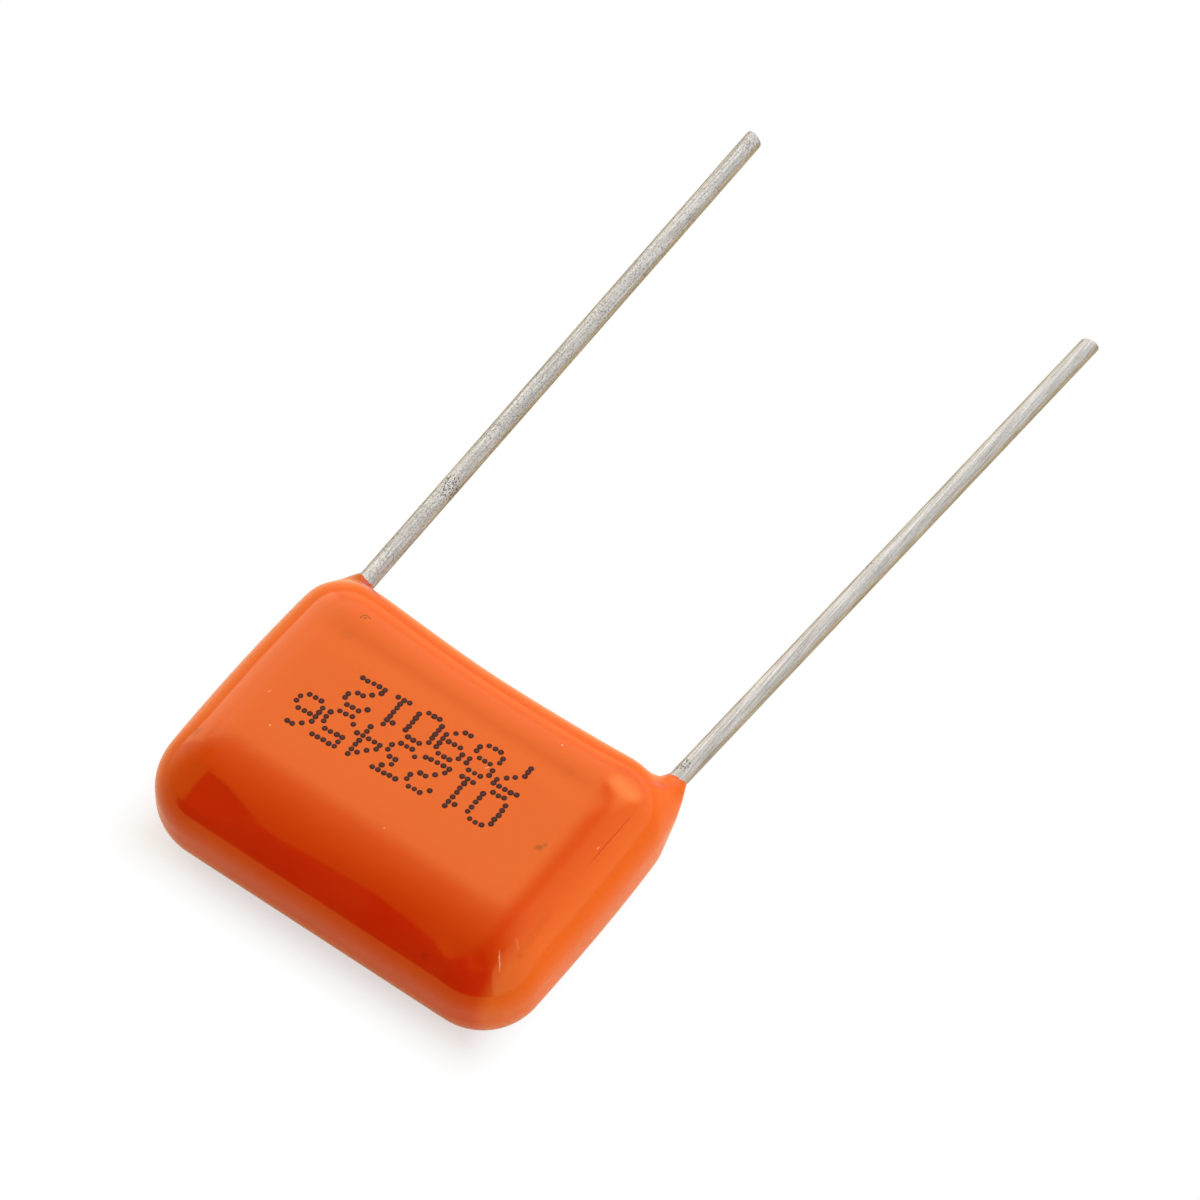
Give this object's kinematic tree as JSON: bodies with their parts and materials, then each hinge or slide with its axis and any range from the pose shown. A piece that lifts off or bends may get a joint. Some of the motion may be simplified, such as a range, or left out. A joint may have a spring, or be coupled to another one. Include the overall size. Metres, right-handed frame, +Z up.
{
  "type": "radial-leaded film capacitor",
  "caption": "Flat pillow-shaped capacitor with a glossy orange dipped epoxy coat and parallel straight tinned wire leads leaving one long edge.",
  "frame": {"origin": "middle of the coat's flat underside, midway between the lead axes, on the surface it lies on", "axes": "+X from the left lead to the right lead, +Y the way the leads leave the body, +Z up through the body's thickness"},
  "size_m": [0.0181, 0.0397, 0.0057],
  "materials": {
    "orange_epoxy": "gloss",
    "metallised_film": "satin",
    "sprayed_zinc": "matte",
    "tinned_wire": "satin"
  },
  "bodies": {
    "root": {"epoxy_coating": "orange_epoxy", "film_winding": "metallised_film", "end_spray_left": "sprayed_zinc", "end_spray_right": "sprayed_zinc", "lead_wire_left": "tinned_wire", "lead_wire_right": "tinned_wire"}
  },
  "joints": []
}
